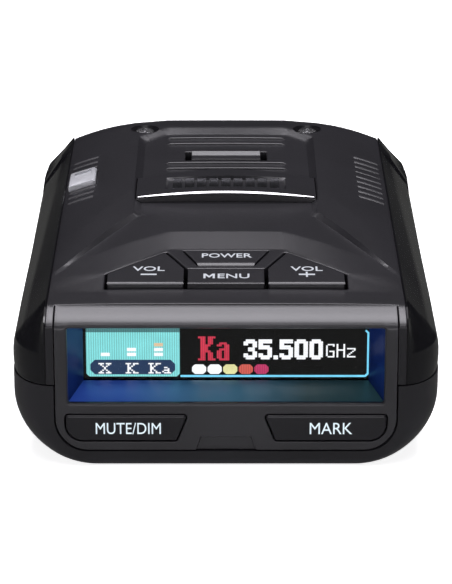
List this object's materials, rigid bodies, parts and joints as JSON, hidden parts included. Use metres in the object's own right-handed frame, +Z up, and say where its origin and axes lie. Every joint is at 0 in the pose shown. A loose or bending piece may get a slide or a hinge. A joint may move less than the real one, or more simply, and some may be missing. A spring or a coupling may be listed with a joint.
{
  "type": "radar detector",
  "caption": "Windshield radar detector: matte case with gloss side trims, recessed colour display, two keys on the driver's face and a key row, bracket release and badge on top.",
  "frame": {"origin": "middle of the flat underside that the detector rests on", "axes": "+X to the driver's right, +Y to the windshield, +Z up"},
  "size_m": [0.074, 0.111, 0.0323],
  "materials": {
    "case_plastic": "soft-touch matte",
    "bezel_plastic": "satin",
    "gloss_plastic": "piano gloss",
    "clear_plastic": "clear polished",
    "milky_plastic": "milky clear",
    "display_glass": "dark display glass",
    "chrome": "bright plated",
    "steel": "plain",
    "brass": "plain",
    "board": "green solder mask",
    "rubber": "matte",
    "chip": "moulded",
    "ceramic": "fired ceramic",
    "film": "amber film",
    "label": "blank satin film"
  },
  "bodies": {
    "housing": {"top_case": "case_plastic", "bottom_case": "case_plastic", "badge_plate": "case_plastic", "mount_socket": "case_plastic", "front_bezel": "bezel_plastic", "side_trim_left": "gloss_plastic", "side_trim_right": "gloss_plastic", "display_surround": "gloss_plastic", "antenna_window": "gloss_plastic", "display_window": "clear_plastic", "laser_lens": "clear_plastic", "sensor_light_pipe": "milky_plastic", "oled_panel": "display_glass", "badge_chrome_strip": "chrome", "badge_emblem": "chrome", "switch_volume_down": "steel", "switch_volume_up": "steel", "switch_power": "steel", "switch_menu": "steel", "switch_mute_dim": "steel", "switch_mark": "steel", "release_spring": "steel", "case_screw_top_left": "steel", "case_screw_top_right": "steel", "case_screw_bottom_1": "steel", "case_screw_bottom_2": "steel", "case_screw_bottom_3": "steel", "case_screw_bottom_4": "steel", "rf_shield": "steel", "speaker_frame": "steel", "speaker_magnet": "steel", "usb_socket": "steel", "antenna_horn": "brass", "display_board": "board", "key_board": "board", "main_board": "board", "key_membrane": "rubber", "speaker_cone": "rubber", "laser_sensor": "chip", "processor": "chip", "power_jack": "chip", "earphone_jack": "chip", "gps_antenna": "ceramic", "display_ribbon": "film", "rating_plate": "label"},
    "volume_down_button": {"volume_down_button": "case_plastic"},
    "volume_up_button": {"volume_up_button": "case_plastic"},
    "power_button": {"power_button": "case_plastic"},
    "menu_button": {"menu_button": "case_plastic"},
    "mute_dim_button": {"mute_dim_button": "bezel_plastic"},
    "mark_button": {"mark_button": "bezel_plastic"},
    "mount_release_button": {"mount_release_button": "case_plastic"}
  },
  "joints": [
    {"name": "volume_down_press", "type": "slide", "parent": "housing", "child": "volume_down_button", "axis": [0, 0, -1], "range_m": [0, 0.0008], "stiffness_N_per_m": 1200, "springref_m": -0.0003},
    {"name": "volume_up_press", "type": "slide", "parent": "housing", "child": "volume_up_button", "axis": [0, 0, -1], "range_m": [0, 0.0008], "stiffness_N_per_m": 1200, "springref_m": -0.0003},
    {"name": "power_press", "type": "slide", "parent": "housing", "child": "power_button", "axis": [0, 0, -1], "range_m": [0, 0.0008], "stiffness_N_per_m": 1200, "springref_m": -0.0003},
    {"name": "menu_press", "type": "slide", "parent": "housing", "child": "menu_button", "axis": [0, 0, -1], "range_m": [0, 0.0008], "stiffness_N_per_m": 1200, "springref_m": -0.0003},
    {"name": "mute_dim_press", "type": "slide", "parent": "housing", "child": "mute_dim_button", "axis": [0, 1, 0], "range_m": [0, 0.0006], "stiffness_N_per_m": 1200, "springref_m": -0.0003},
    {"name": "mark_press", "type": "slide", "parent": "housing", "child": "mark_button", "axis": [0, 1, 0], "range_m": [0, 0.0006], "stiffness_N_per_m": 1200, "springref_m": -0.0003},
    {"name": "mount_release_press", "type": "slide", "parent": "housing", "child": "mount_release_button", "axis": [0, 0, -1], "range_m": [0, 0.0014], "stiffness_N_per_m": 1500, "springref_m": -0.0003, "deforming": ["release_spring"]}
  ]
}
